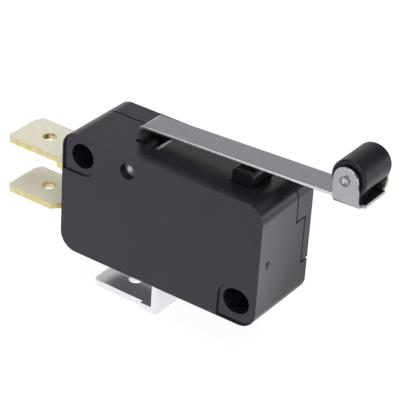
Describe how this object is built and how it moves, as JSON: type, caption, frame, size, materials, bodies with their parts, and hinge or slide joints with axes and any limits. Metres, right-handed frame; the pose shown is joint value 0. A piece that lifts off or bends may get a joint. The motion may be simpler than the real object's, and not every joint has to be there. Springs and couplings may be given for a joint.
{
  "type": "lever micro switch",
  "caption": "Miniature snap-action switch: black moulded body with two mounting holes, push-on tabs, a plunger and a steel hinge lever with a roller.",
  "frame": {"origin": "centre of the round mounting hole, half way through the body's depth", "axes": "+X along the body, from the side tabs to the roller; +Y from the front face to the rear cover; +Z from the base to the plunger"},
  "size_m": [0.0487, 0.0104, 0.0292],
  "materials": {
    "case_plastic": "fine spark-eroded grain",
    "cover_plastic": "fine spark-eroded grain",
    "plunger_plastic": "moulded, smooth",
    "lever_steel": "rolled strip, satin",
    "roller_plastic": "turned, semi-gloss",
    "pin_steel": "bright drawn steel",
    "brass": "stamped strip, semi-bright",
    "plated_brass": "tin or nickel plated, bright",
    "contact_silver": "silver alloy, bright",
    "copper_alloy": "rolled spring alloy, satin",
    "spring_steel": "drawn wire, bright"
  },
  "bodies": {
    "housing": {"case": "case_plastic", "cover": "cover_plastic", "hinge_pin": "pin_steel", "upper_terminal": "brass", "lower_terminal": "brass", "common_terminal": "plated_brass", "upper_contact": "contact_silver", "lower_contact": "contact_silver"},
    "lever_arm": {"lever": "lever_steel", "roller_pin": "pin_steel"},
    "roller_wheel": {"roller": "roller_plastic"},
    "button": {"plunger": "plunger_plastic"},
    "rocker_plate": {"rocker": "copper_alloy"},
    "snap_arm": {"contact_arm": "copper_alloy", "moving_contact": "contact_silver"},
    "spring_coil": {"tension_spring": "spring_steel"}
  },
  "joints": [
    {"name": "lever_hinge", "type": "hinge", "parent": "housing", "child": "lever_arm", "pos_m": [0.00654, 0, 0.0006], "axis": [0, 1, 0], "range_deg": [0, 7], "stiffness_Nm_per_rad": 0.12, "springref_deg": -3.44},
    {"name": "roller_spin", "type": "hinge", "parent": "lever_arm", "child": "roller_wheel", "pos_m": [0.03349, 0, 0.00895], "axis": [0, 1, 0], "continuous": true},
    {"name": "plunger_slide", "type": "slide", "parent": "housing", "child": "button", "axis": [0, 0, -1], "range_m": [0, 0.0013]},
    {"name": "rocker_turn", "type": "hinge", "parent": "housing", "child": "rocker_plate", "pos_m": [0.0229, 0, -0.0051], "axis": [0, 1, 0], "range_deg": [-24.8, 0]},
    {"name": "arm_turn", "type": "hinge", "parent": "housing", "child": "snap_arm", "pos_m": [0.01585, 0, -0.0055], "axis": [0, 1, 0], "range_deg": [-3.26, 0]},
    {"name": "spring_swing", "type": "hinge", "parent": "snap_arm", "child": "spring_coil", "pos_m": [0.00611, 0, -0.00515], "axis": [0, 1, 0], "range_deg": [0, 10.55]}
  ],
  "couplings": [
    {"joint": "plunger_slide", "follows": "lever_hinge", "m_per_rad": 0.010641},
    {"joint": "rocker_turn", "follows": "lever_hinge", "ratio": -3.5429},
    {"joint": "arm_turn", "follows": "lever_hinge", "ratio": -0.46571},
    {"joint": "spring_swing", "follows": "lever_hinge", "ratio": 1.5071}
  ]
}
